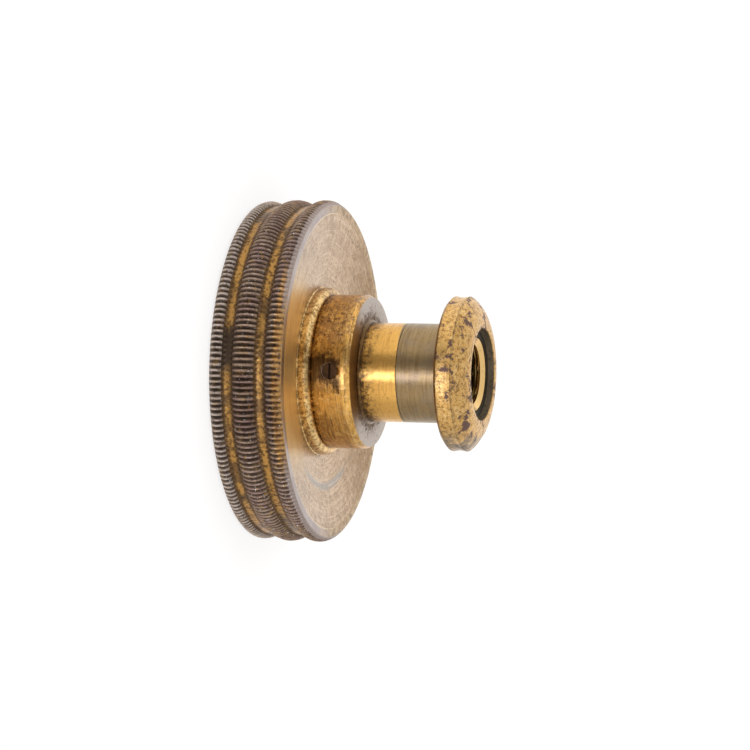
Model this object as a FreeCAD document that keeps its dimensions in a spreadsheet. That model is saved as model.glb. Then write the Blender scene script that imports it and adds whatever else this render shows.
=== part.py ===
"""Milled brass adjusting knob with a captive running sleeve on its neck.

All sizes are in millimetres.  The knob stands on its back face: the origin is the centre of that
face, +Z runs along the turning axis towards the open end, and -Y is the side of the grub screw.
"""
import FreeCAD, Part
import math
import os

import Sketcher

DRIVING_SIZES = {
    # milled wheel
    "wheel_radius": 17.0,
    "wheel_width": 7.4,
    "rear_crest_radius": 16.87,
    "band_edge_radius": 16.55,
    "back_face_radius": 16.0,
    "back_bevel": 0.25,
    "rear_band_width": 1.13,
    "middle_band_width": 2.12,
    "front_band_width": 1.6,
    "ring_groove_width": 1.1,
    "ring_groove_depth": 0.2,
    "front_rim_rise": 0.12,
    "front_face_radius": 16.5,
    "front_ring_bore": 15.7,
    "back_recess_radius": 13.4,
    "back_recess_depth": 0.6,
    # milling on the rim
    "milling_count": 195,
    "milling_depth": 0.42,
    "milling_width": 0.43,
    # boss on the wheel
    "boss_radius": 7.62,
    "boss_top": 11.32,
    "shoulder_radius": 8.3,
    "shoulder_foot": 6.2,
    "shoulder_top": 7.4,
    "shoulder_rounding": 0.6,
    "shoulder_groove_radius": 7.46,
    "shoulder_groove_top": 7.66,
    "boss_bevel_height": 0.45,
    "boss_bevel_width": 0.2,
    "socket_radius": 4.0,
    "socket_floor": 5.0,
    # stem
    "neck_radius": 4.9,
    "neck_top": 15.2,
    "neck_root_fillet": 0.3,
    "journal_radius": 4.25,
    "nose_radius": 4.1,
    "nose_top": 21.75,
    "bush_seat_floor": 14.0,
    "screw_clearance_radius": 3.2,
    "screw_clearance_floor": 7.5,
    # running sleeve
    "sleeve_clearance": 0.03,
    "sleeve_end_play": 0.04,
    # end collar
    "collar_back": 19.74,
    "collar_radius": 7.62,
    "collar_back_bevel": 0.25,
    "collar_rim_top": 21.37,
    "collar_rim_hollow": 0.09,
    "collar_top": 22.77,
    "collar_lip_radius": 5.15,
    "collar_face_curve": 3.9,
    "mouth_radius": 4.54,
    "mouth_edge": 0.08,
    "mouth_depth": 0.68,
    "lip_gap": 0.05,
    "lip_thickness": 0.3,
    # thread bush
    "bush_radius": 3.6,
    "bush_top": 22.05,
    "bush_bore_radius": 3.0,
    "bush_lead_in_height": 0.38,
    "bush_lead_in_width": 0.5,
    # grub screw
    "grub_radius": 0.8,
    "grub_height": 9.34,
    "grub_sink": 0.18,
    "grub_slot_width": 0.26,
    "grub_slot_depth": 0.35,
}

SHEET = "Sizes"

# The toothed prism's flanks run on past the crest by this share, so that only the crowned rim
# shapes the crests, and the prism stands out of the wheel's back and the boss's top.
TOOTH_OVERREACH = 1.3
PRISM_MARGIN = 1.0


class Size:
    """A length together with the spreadsheet expression that drives it."""

    def __init__(self, value, text):
        self.value = float(value)
        self.text = text

    def __add__(self, other):
        other = as_size(other)
        return Size(self.value + other.value, f"({self.text} + {other.text})")

    def __sub__(self, other):
        other = as_size(other)
        return Size(self.value - other.value, f"({self.text} - {other.text})")

    def __mul__(self, other):
        other = as_size(other)
        return Size(self.value * other.value, f"({self.text} * {other.text})")

    def __truediv__(self, other):
        other = as_size(other)
        return Size(self.value / other.value, f"({self.text} / {other.text})")


def as_size(value):
    """Wrap a plain number, so that it can stand in an expression."""
    return value if isinstance(value, Size) else Size(value, f"{value:g}")


def size(alias):
    """The named driving size."""
    return Size(DRIVING_SIZES[alias], f"{SHEET}.{alias}")


def write_sheet(document):
    """Put every driving size in its own cell, with its name beside it."""
    sheet = document.addObject("Spreadsheet::Sheet", SHEET)
    for row, (alias, value) in enumerate(DRIVING_SIZES.items(), start=1):
        sheet.set(f"A{row}", alias)
        sheet.set(f"B{row}", f"{value:g}")
        sheet.setAlias(f"B{row}", alias)
    document.recompute()


def origin_plane(body, role):
    """One of the body's own three origin planes."""
    return next(plane for plane in body.Origin.OriginFeatures if plane.Role == role)


def new_sketch(body, name, role):
    """A sketch on one of the body's own origin planes."""
    sketch = body.newObject("Sketcher::SketchObject", name)
    sketch.AttachmentSupport = [(origin_plane(body, role), "")]
    sketch.MapMode = "FlatFace"
    return sketch


def drive(sketch, constraint, length):
    """Add a dimension and bind it to the sheet."""
    index = sketch.addConstraint(constraint)
    sketch.setExpression(f"Constraints[{index}]", length.text)


def pin_point(sketch, edge, end, across, up):
    """Fix one end of an edge at its distances from the sketch's two axes."""
    for direction, length, axis in (("DistanceX", across, -2), ("DistanceY", up, -1)):
        if length.value == 0:
            sketch.addConstraint(Sketcher.Constraint("PointOnObject", edge, end, axis))
        else:
            drive(sketch, Sketcher.Constraint(direction, -1, 1, edge, end, length.value), length)


def draw_polygon(sketch, corners):
    """A closed outline of straight edges through the given corners."""
    points = [FreeCAD.Vector(across.value, up.value, 0) for across, up in corners]
    for index, point in enumerate(points):
        following = points[(index + 1) % len(points)]
        sketch.addGeometry(Part.LineSegment(point, following), False)
    for index, corner in enumerate(corners):
        following = (index + 1) % len(corners)
        sketch.addConstraint(Sketcher.Constraint("Coincident", index, 2, following, 1))
        pin_point(sketch, index, 1, *corner)


def rise_radius(chord, rise):
    """Radius of the arc that rises this much over this chord."""
    return (chord * chord / 4 + rise * rise) / (rise * 2)


class Outline:
    """A closed half section: points (radius, height) joined by lines and by arcs of a given bulge.

    A positive bulge lies to the right of the way that the outline runs, which is outwards where it
    runs up the outside of a turned piece; a negative one is hollow.
    """

    def __init__(self, radius, height):
        self.points = [(as_size(radius), as_size(height))]
        self.bulges = []

    def line(self, radius, height):
        """Run straight to the next point."""
        self.points.append((as_size(radius), as_size(height)))
        self.bulges.append(None)
        return self

    def arc(self, radius, height, arc_radius, hollow=False):
        """Run to the next point on an arc shorter than a half circle."""
        self.points.append((as_size(radius), as_size(height)))
        self.bulges.append((as_size(arc_radius), hollow))
        return self

    def draw(self, sketch):
        """Draw the outline, closed by a last straight line, and dimension every corner."""
        corners = [FreeCAD.Vector(across.value, up.value, 0) for across, up in self.points]
        bulges = self.bulges + [None]
        ends = []
        for index, bulge in enumerate(bulges):
            start = corners[index]
            stop = corners[(index + 1) % len(corners)]
            if bulge is None:
                edge = sketch.addGeometry(Part.LineSegment(start, stop), False)
                ends.append((edge, 1, 2))
            else:
                edge, forward = add_arc(sketch, start, stop, *bulge)
                ends.append((edge, 1, 2) if forward else (edge, 2, 1))
        for index, (edge, first, last) in enumerate(ends):
            following, next_first, _ = ends[(index + 1) % len(ends)]
            sketch.addConstraint(Sketcher.Constraint("Coincident", edge, last, following, next_first))
        for index, (edge, first, last) in enumerate(ends):
            pin_point(sketch, edge, first, *self.points[index])
            if bulges[index] is not None:
                arc_radius = bulges[index][0]
                drive(sketch, Sketcher.Constraint("Radius", edge, arc_radius.value), arc_radius)


def add_arc(sketch, start, stop, arc_radius, hollow):
    """Add an arc, always anticlockwise; the second result says if it runs with the outline."""
    chord = stop - start
    half = chord.Length / 2
    left = FreeCAD.Vector(-chord.y, chord.x, 0).normalize()
    side = -1 if hollow else 1
    reach = math.sqrt(arc_radius.value ** 2 - half ** 2)
    centre = (start + stop) / 2 + left * side * reach
    first, last = (stop, start) if hollow else (start, stop)
    angles = [math.atan2(end.y - centre.y, end.x - centre.x) for end in (first, last)]
    circle = Part.Circle(centre, FreeCAD.Vector(0, 0, 1), arc_radius.value)
    edge = sketch.addGeometry(Part.ArcOfCircle(circle, *angles), False)
    return edge, not hollow


def turned_body(document, name, outline):
    """A body turned round +Z from a half section."""
    body = document.addObject("PartDesign::Body", name)
    body.Label = name
    sketch = new_sketch(body, f"{name}_section", "XZ_Plane")
    outline.draw(sketch)
    turning = body.newObject("PartDesign::Revolution", f"{name}_turning")
    turning.Profile = sketch
    turning.ReferenceAxis = (sketch, ["V_Axis"])
    turning.Angle = 360
    body.Tip = turning
    document.recompute()
    return body


def cut_pocket(document, body, sketch, name, length):
    """Cut a pocket along the sketch's positive side, and make sure that it removes metal."""
    before = body.Shape.Volume
    pocket = body.newObject("PartDesign::Pocket", name)
    pocket.Profile = sketch
    pocket.Reversed = True
    pocket.setExpression("Length", length.text)
    body.Tip = pocket
    document.recompute()
    if body.Shape.Volume >= before:
        raise RuntimeError(f"{name} removes nothing")
    return pocket


def head_outline():
    """Half section of the wheel and its boss: three crowned bands, a dished face and a shoulder ring."""
    edge = size("band_edge_radius")
    crown_rise = size("wheel_radius") - edge
    groove = size("ring_groove_width")
    groove_arc = rise_radius(groove, size("ring_groove_depth"))
    top = size("wheel_width")

    outline = Outline(0, size("back_recess_depth"))
    outline.line(size("back_recess_radius"), size("back_recess_depth"))
    outline.line(size("back_recess_radius"), 0)
    outline.line(size("back_face_radius"), 0)

    height = size("back_bevel")
    outline.line(edge, height)
    rear_rise = size("rear_crest_radius") - edge
    bands = (("rear_band_width", rear_rise), ("middle_band_width", crown_rise))
    for width_name, rise in bands:
        width = size(width_name)
        height = height + width
        outline.arc(edge, height, rise_radius(width, rise))
        height = height + groove
        outline.arc(edge, height, groove_arc, hollow=True)
    front_band = size("front_band_width")
    rim_rise = size("front_rim_rise")
    height = height + front_band
    outline.arc(edge + rim_rise, height, rise_radius(front_band, crown_rise - rim_rise / 2))
    outline.line(size("front_face_radius"), top)

    boss = size("boss_radius")
    shoulder = size("shoulder_radius")
    shoulder_top = size("shoulder_top")
    rounding = size("shoulder_rounding")
    outline.line(size("front_ring_bore"), top)
    outline.line(shoulder, size("shoulder_foot"))
    outline.line(shoulder, shoulder_top - rounding)
    outline.arc(shoulder - rounding, shoulder_top, rounding)
    outline.line(size("shoulder_groove_radius"), shoulder_top)
    outline.line(boss, size("shoulder_groove_top"))
    outline.line(boss, size("boss_top") - size("boss_bevel_height"))
    outline.line(boss - size("boss_bevel_width"), size("boss_top"))
    outline.line(size("socket_radius"), size("boss_top"))
    outline.line(size("socket_radius"), size("socket_floor"))
    outline.line(0, size("socket_floor"))
    return outline


def make_milling_teeth(document):
    """A toothed prism whose V notches are the straight milling; it reaches past the rim and boss."""
    sheet = document.getObject(SHEET)
    crest = sheet.get("wheel_radius")
    depth = sheet.get("milling_depth")
    count = round(sheet.get("milling_count"))
    pitch = math.tau / count
    root = crest - depth
    half_notch = sheet.get("milling_width") / 2 / crest
    tip = root + depth * TOOTH_OVERREACH
    flank = half_notch * TOOTH_OVERREACH
    corners = []
    for tooth in range(count):
        angle = tooth * pitch
        corners.append(polar_point(root, angle))
        corners.append(polar_point(tip, angle + flank))
        corners.append(polar_point(tip, angle + pitch - flank))
    section = Part.Face(Part.makePolygon(corners + corners[:1]))
    section.translate(FreeCAD.Vector(0, 0, -PRISM_MARGIN))
    height = sheet.get("boss_top") + 2 * PRISM_MARGIN
    teeth = document.addObject("Part::Feature", "milling_teeth")
    teeth.Shape = section.extrude(FreeCAD.Vector(0, 0, height))
    return teeth


def polar_point(radius, angle):
    """A point in the XY plane."""
    return FreeCAD.Vector(radius * math.cos(angle), radius * math.sin(angle), 0)


def drill_grub_hole(document, body):
    """Drill the hole of the grub screw through the boss wall, on the -Y side only."""
    sketch = new_sketch(body, "grub_hole_circle", "XZ_Plane")
    centre = FreeCAD.Vector(0, DRIVING_SIZES["grub_height"], 0)
    circle = Part.Circle(centre, FreeCAD.Vector(0, 0, 1), DRIVING_SIZES["grub_radius"])
    edge = sketch.addGeometry(circle, False)
    pin_point(sketch, edge, 3, as_size(0), size("grub_height"))
    radius = size("grub_radius")
    drive(sketch, Sketcher.Constraint("Radius", edge, radius.value), radius)
    before = body.Shape.copy()
    pocket = body.newObject("PartDesign::Pocket", "grub_hole")
    pocket.Profile = sketch
    pocket.setExpression("Length", size("boss_radius").text)
    for reverse in (False, True):
        pocket.Reversed = reverse
        body.Tip = pocket
        document.recompute()
        removed = before.cut(body.Shape)
        if removed.Volume > 0 and removed.BoundBox.Center.y < 0:
            return
    raise RuntimeError("the grub hole misses the boss wall")


def make_milled_head(document):
    """The milled wheel with its boss: one turned piece, then milled along its rim."""
    turned = turned_body(document, "turned_head", head_outline())
    drill_grub_hole(document, turned)
    head = document.addObject("Part::Common", "milled_head")
    head.Label = "milled_head"
    head.Base = turned
    head.Tool = make_milling_teeth(document)
    document.recompute()
    if head.Shape.Volume >= turned.Shape.Volume:
        raise RuntimeError("the milling removes nothing")
    return head


def make_stem(document):
    """The stem: tenon in the boss, plain neck, journal for the sleeve and threaded nose."""
    boss_top = size("boss_top")
    neck = size("neck_radius")
    fillet = size("neck_root_fillet")
    seat = size("bush_radius")
    clearance = size("screw_clearance_radius")
    outline = Outline(0, size("socket_floor"))
    outline.line(size("socket_radius"), size("socket_floor"))
    outline.line(size("socket_radius"), boss_top)
    outline.line(neck + fillet, boss_top)
    outline.arc(neck, boss_top + fillet, fillet, hollow=True)
    outline.line(neck, size("neck_top"))
    outline.line(size("journal_radius"), size("neck_top"))
    outline.line(size("journal_radius"), size("collar_back"))
    outline.line(size("nose_radius"), size("collar_back"))
    outline.line(size("nose_radius"), size("nose_top"))
    outline.line(seat, size("nose_top"))
    outline.line(seat, size("bush_seat_floor"))
    outline.line(clearance, size("bush_seat_floor"))
    outline.line(clearance, size("screw_clearance_floor"))
    outline.line(0, size("screw_clearance_floor"))
    return turned_body(document, "stem", outline)


def make_neck_sleeve(document):
    """The plain sleeve that turns on the stem's journal."""
    bore = size("journal_radius") + size("sleeve_clearance")
    bottom = size("neck_top") + size("sleeve_end_play")
    top = size("collar_back") - size("sleeve_end_play")
    outline = Outline(bore, bottom)
    outline.line(size("neck_radius"), bottom)
    outline.line(size("neck_radius"), top)
    outline.line(bore, top)
    return turned_body(document, "neck_sleeve", outline)


def make_end_collar(document):
    """The collar on the stem's nose: hollow rim, domed face, flat lip and a stepped mouth."""
    back = size("collar_back")
    rim = size("collar_radius")
    bevel = size("collar_back_bevel")
    rim_top = size("collar_rim_top")
    rim_height = rim_top - back - bevel
    mouth = size("mouth_radius")
    edge = size("mouth_edge")
    floor = size("collar_top") - size("mouth_depth")
    lip = size("bush_radius") + size("lip_gap")
    lip_back = floor - size("lip_thickness")
    outline = Outline(size("nose_radius"), back)
    outline.line(rim - bevel, back)
    outline.line(rim, back + bevel)
    outline.arc(rim, rim_top, rise_radius(rim_height, size("collar_rim_hollow")), hollow=True)
    outline.arc(size("collar_lip_radius"), size("collar_top"), size("collar_face_curve"))
    outline.line(mouth + edge, size("collar_top"))
    outline.line(mouth, size("collar_top") - edge)
    outline.line(mouth, floor)
    outline.line(lip, floor)
    outline.line(lip, lip_back)
    outline.line(size("nose_radius"), lip_back)
    return turned_body(document, "end_collar", outline)


def make_thread_bush(document):
    """The bush that carries the focusing thread, with a conical lead-in at its mouth."""
    top = size("bush_top")
    bore = size("bush_bore_radius")
    rim = size("bush_radius")
    lead_in = size("bush_lead_in_height")
    outline = Outline(bore, size("bush_seat_floor"))
    outline.line(rim, size("bush_seat_floor"))
    outline.line(rim, top)
    outline.line(bore + size("bush_lead_in_width"), top)
    outline.line(bore, top - lead_in)
    return turned_body(document, "thread_bush", outline)


def make_grub_screw(document):
    """The slotted grub screw, its head a little below the boss and its tip on the stem's tenon."""
    body = document.addObject("PartDesign::Body", "grub_screw")
    body.Label = "grub_screw"
    radius = size("grub_radius")
    head = size("boss_radius") - size("grub_sink")
    blank = new_sketch(body, "grub_blank_circle", "XY_Plane")
    circle = Part.Circle(FreeCAD.Vector(), FreeCAD.Vector(0, 0, 1), radius.value)
    edge = blank.addGeometry(circle, False)
    blank.addConstraint(Sketcher.Constraint("Coincident", edge, 3, -1, 1))
    drive(blank, Sketcher.Constraint("Radius", edge, radius.value), radius)
    shank = body.newObject("PartDesign::Pad", "grub_shank")
    shank.Profile = blank
    shank.setExpression("Length", (head - size("socket_radius")).text)
    body.Tip = shank
    document.recompute()

    slot = new_sketch(body, "grub_slot_outline", "XY_Plane")
    half_width = size("grub_slot_width") / 2
    reach = radius * 1.5
    signs = ((-1, -1), (1, -1), (1, 1), (-1, 1))
    draw_polygon(slot, [(reach * sign_x, half_width * sign_y) for sign_x, sign_y in signs])
    cut_pocket(document, body, slot, "grub_slot", size("grub_slot_depth"))

    turn = FreeCAD.Rotation(FreeCAD.Vector(1, 0, 0), -90)
    place = FreeCAD.Vector(0, -head.value, DRIVING_SIZES["grub_height"])
    body.Placement = FreeCAD.Placement(place, turn)
    document.recompute()
    return body


def check_document(document, parts):
    """Stop if any object failed, or if any sub-part isn't one valid solid."""
    for item in document.Objects:
        if {"Invalid", "Error"} & set(item.State):
            raise RuntimeError(f"{item.Name} failed: {item.State}")
    for part in parts:
        shape = part.Shape
        if shape.isNull() or not shape.isValid() or len(shape.Solids) != 1:
            raise RuntimeError(f"{part.Label} is not one valid solid")


def main():
    """Build every sub-part and write one STEP file for each."""
    document = FreeCAD.newDocument("milled_knob")
    write_sheet(document)
    makers = (
        make_milled_head,
        make_stem,
        make_neck_sleeve,
        make_end_collar,
        make_thread_bush,
        make_grub_screw,
    )
    parts = [maker(document) for maker in makers]
    check_document(document, parts)
    os.makedirs("parts", exist_ok=True)
    for part in parts:
        part.Shape.exportStep(f"parts/{part.Label}.step")
        box = part.Shape.optimalBoundingBox()
        print(f"{part.Label}: {part.Shape.Volume:.1f} mm3, z {box.ZMin:.2f} to {box.ZMax:.2f}")


main()
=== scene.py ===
"""Looks of an old milled brass adjusting knob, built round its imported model.

The knob stands on its back face: +Z is the turning axis and -Y is the side of the grub screw.
Sizes are in millimetres in the outlines and become metres in the meshes.
"""

import math
import random

import bpy
from mathutils import Matrix, Vector, noise


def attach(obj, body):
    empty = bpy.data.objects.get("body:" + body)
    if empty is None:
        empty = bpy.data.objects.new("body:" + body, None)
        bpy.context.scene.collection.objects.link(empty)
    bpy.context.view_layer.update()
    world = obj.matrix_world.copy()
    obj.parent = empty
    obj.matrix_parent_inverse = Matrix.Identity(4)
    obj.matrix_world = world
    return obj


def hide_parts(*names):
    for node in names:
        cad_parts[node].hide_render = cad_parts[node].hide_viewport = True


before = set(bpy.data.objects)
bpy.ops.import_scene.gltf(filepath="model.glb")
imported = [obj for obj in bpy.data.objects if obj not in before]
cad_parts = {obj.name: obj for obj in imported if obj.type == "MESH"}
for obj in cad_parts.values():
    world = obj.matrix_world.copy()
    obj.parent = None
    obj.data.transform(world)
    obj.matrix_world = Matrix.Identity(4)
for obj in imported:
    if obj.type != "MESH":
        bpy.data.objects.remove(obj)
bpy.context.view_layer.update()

MM = 0.001
SEED = 7

# Rim and face of the wheel.
WHEEL_RADIUS = 17.0
REAR_CREST_RADIUS = 16.87
BAND_EDGE_RADIUS = 16.55
FRONT_BAND_EDGE_RADIUS = 16.67
BACK_FACE_RADIUS = 16.0
BACK_BEVEL = 0.25
REAR_BAND_WIDTH = 1.13
MIDDLE_BAND_WIDTH = 2.12
FRONT_BAND_WIDTH = 1.6
RING_GROOVE_WIDTH = 1.1
RING_GROOVE_DEPTH = 0.2
GROOVE_MIDDLES = (
    BACK_BEVEL + REAR_BAND_WIDTH + RING_GROOVE_WIDTH / 2,
    BACK_BEVEL + REAR_BAND_WIDTH + MIDDLE_BAND_WIDTH + RING_GROOVE_WIDTH * 1.5,
)
FRONT_FACE_RADIUS = 16.5
FRONT_RING_BORE = 15.7
WHEEL_TOP = 7.4
BACK_RECESS_RADIUS = 13.4
BACK_RECESS_DEPTH = 0.6

# Milling on the rim.
TOOTH_COUNT = 195
SEGMENTS_PER_TOOTH = 2
# How deep the notches are at the bands' crowns, at their edges and through a ring groove.
MILLING_DEPTH = 0.3
EDGE_MILLING_DEPTH = 0.2
GROOVE_MILLING_DEPTHS = (0.1, 0.03, 0.0, 0.0, 0.03, 0.1, EDGE_MILLING_DEPTH)
MILLING_WIDTH = 0.45
# Where a tooth gets its vertices, as shares of its pitch.
TOOTH_SAMPLES = (0.0, 0.08, 0.18, 0.29, 0.39, 0.5, 0.61, 0.71, 0.82, 0.92)
CREST_ROUNDING = 0.06
TOOTH_PITCH = math.tau / TOOTH_COUNT
# Errors of hand work: the spread of a notch's place in pitches, and the range of its depth.
NOTCH_SHIFT = 0.03
NOTCH_DEPTHS = (0.8, 1.08)
RIM_WOBBLE = 0.03
RIM_NICKS = 0.07

# Boss, stem, sleeve, collar and bush.
BOSS_RADIUS = 7.62
BOSS_TOP = 11.32
SHOULDER_RADIUS = 8.3
SHOULDER_FOOT = 6.2
SHOULDER_TOP = 7.4
SHOULDER_ROUNDING = 0.6
SHOULDER_GROOVE_RADIUS = 7.55
SHOULDER_GROOVE_TOP = 7.6
BOSS_BEVEL_HEIGHT = 0.45
BOSS_BEVEL_WIDTH = 0.2
SOCKET_RADIUS = 4.0
SOCKET_FLOOR = 5.0
NECK_RADIUS = 4.9
NECK_TOP = 15.2
NECK_ROOT_FILLET = 0.3
JOURNAL_RADIUS = 4.25
NOSE_RADIUS = 4.1
NOSE_TOP = 21.75
BUSH_SEAT_FLOOR = 14.0
SCREW_CLEARANCE_RADIUS = 3.2
SCREW_CLEARANCE_FLOOR = 7.5
SLEEVE_CLEARANCE = 0.03
SLEEVE_END_PLAY = 0.04
COLLAR_BACK = 19.74
COLLAR_RADIUS = 7.62
COLLAR_BACK_BEVEL = 0.25
COLLAR_RIM_TOP = 21.37
COLLAR_RIM_HOLLOW = 0.09
COLLAR_TOP = 22.77
COLLAR_LIP_RADIUS = 5.15
COLLAR_FACE_BULGE = 0.25
MOUTH_RADIUS = 4.54
MOUTH_EDGE = 0.08
MOUTH_DEPTH = 0.68
LIP_RADIUS = 3.65
LIP_THICKNESS = 0.3
COLLAR_DENTS = 0.12
BUSH_RADIUS = 3.6
BUSH_TOP = 22.05
BUSH_BORE_RADIUS = 3.0
BUSH_LEAD_IN = 0.38
THREAD_PITCH = 0.5
THREAD_DEPTH = 0.27
GRUB_RADIUS = 0.8
GRUB_HEIGHT = 9.34

RING_SEGMENTS = TOOTH_COUNT * SEGMENTS_PER_TOOTH
BUSH_SEGMENTS = 240
THREAD_RINGS = 110
HOLE_SEGMENTS = 48
SMOOTH_ANGLE = math.radians(24)


# ---------------------------------------------------------------- outlines

def arc(start, stop, bulge, steps):
    """Points after start, up to and with stop, on an arc that bulges to the right of its way."""
    (ra, za), (rb, zb) = start, stop
    chord = math.hypot(rb - ra, zb - za)
    along = ((rb - ra) / chord, (zb - za) / chord)
    right = (along[1], -along[0])
    radius = (chord * chord / 4 + bulge * bulge) / (2 * abs(bulge))
    sign = math.copysign(1, bulge)
    half_angle = math.asin(min(1, chord / 2 / radius))
    reach = radius * math.cos(half_angle)
    points = []
    for step in range(1, steps + 1):
        angle = half_angle * (2 * step / steps - 1)
        across = chord / 2 + radius * math.sin(angle)
        rise = sign * (radius * math.cos(angle) - reach)
        points.append((
            ra + along[0] * across + right[0] * rise,
            za + along[1] * across + right[1] * rise,
        ))
    return points


def run(start, stop, steps):
    """Points after start, up to and with stop, evenly on a straight line."""
    return [
        tuple(a + (b - a) * step / steps for a, b in zip(start, stop))
        for step in range(1, steps + 1)
    ]


def quarter_bulge(radius):
    """How far a quarter circle of this radius rises over its chord."""
    return radius * (1 - math.cos(math.pi / 4))


# ---------------------------------------------------------------- meshes

def unworn(angle, radius, height):
    """The wear of a clean surface: no change of radius anywhere."""
    return 0


class Lathe:
    """Rings of vertices round +Z that are joined into one closed mesh."""

    def __init__(self, name):
        self.name = name
        self.verts = []
        self.grime_and_shade = []
        self.rings = []
        self.faces = []
        self.face_materials = []

    def ring(self, vertices, material=0):
        """The next ring, from the (angle, radius, height, dirt and painted shade) of each of its
        vertices.
        """
        start = len(self.verts)
        for angle, radius, height, grime_and_shade in vertices:
            x, y = radius * math.cos(angle), radius * math.sin(angle)
            self.verts.append((x * MM, y * MM, height * MM))
            self.grime_and_shade.append(grime_and_shade)
        self.rings.append((range(start, len(self.verts)), material))

    def stretch(self, points, material, grime_and_shade, wear=unworn):
        """Plain rings through points; a radius of 0 is a single vertex on the axis."""
        for radius, height in points:
            angles = even_angles(RING_SEGMENTS) if radius else [0]
            worn = [(angle, radius + wear(angle, radius, height)) for angle in angles]
            self.ring([(*place, height, grime_and_shade) for place in worn], material)

    def skin(self):
        """Join each ring to the next, and the last to the first unless the axis closes the ends."""
        for (lower, _), (upper, material) in zip(self.rings, self.rings[1:]):
            self.join(lower, upper, material)
        (first, first_material), (last, _) = self.rings[0], self.rings[-1]
        if len(first) > 1 and len(last) > 1:
            self.join(last, first, first_material)

    def join(self, lower, upper, material):
        """Faces between two rings: of one size, one a multiple of the other, or one on the axis."""
        if len(lower) == len(upper):
            count = len(lower)
            made = [
                (lower[i], lower[(i + 1) % count], upper[(i + 1) % count], upper[i])
                for i in range(count)
            ]
        elif len(lower) == 1:
            count = len(upper)
            made = [(lower[0], upper[(i + 1) % count], upper[i]) for i in range(count)]
        elif len(upper) == 1:
            count = len(lower)
            made = [(lower[i], lower[(i + 1) % count], upper[0]) for i in range(count)]
        elif len(lower) > len(upper):
            share = len(lower) // len(upper)
            made = [
                tuple(lower[(i * share + k) % len(lower)] for k in range(share + 1))
                + (upper[(i + 1) % len(upper)], upper[i])
                for i in range(len(upper))
            ]
        else:
            share = len(upper) // len(lower)
            made = [
                (lower[i], lower[(i + 1) % len(lower)])
                + tuple(upper[(i * share + k) % len(upper)] for k in range(share, -1, -1))
                for i in range(len(lower))
            ]
        self.faces += made
        self.face_materials += [material] * len(made)

    def build(self, materials):
        """The finished object, with its dirt and painted shade as a vertex attribute."""
        self.skin()
        mesh = bpy.data.meshes.new(self.name)
        mesh.from_pydata(self.verts, [], self.faces)
        for material in materials:
            mesh.materials.append(material)
        mesh.polygons.foreach_set("material_index", self.face_materials)
        attribute = mesh.attributes.new("grime_and_shade", "FLOAT", "POINT")
        attribute.data.foreach_set("value", self.grime_and_shade)
        mesh.polygons.foreach_set("use_smooth", [True] * len(self.faces))
        mesh.update()
        mesh.set_sharp_from_angle(angle=SMOOTH_ANGLE)
        piece = bpy.data.objects.new(self.name, mesh)
        bpy.context.scene.collection.objects.link(piece)
        return piece


def even_angles(count):
    """Angles evenly round the axis."""
    return [math.tau * i / count for i in range(count)]


def turned(name, outline, materials, wear=unworn):
    """A plain turned piece from stretches of points, material, and dirt with painted shade."""
    lathe = Lathe(name)
    for stretch in outline:
        lathe.stretch(*stretch, wear)
    return lathe.build(materials)


# ---------------------------------------------------------------- material nodes

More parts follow.
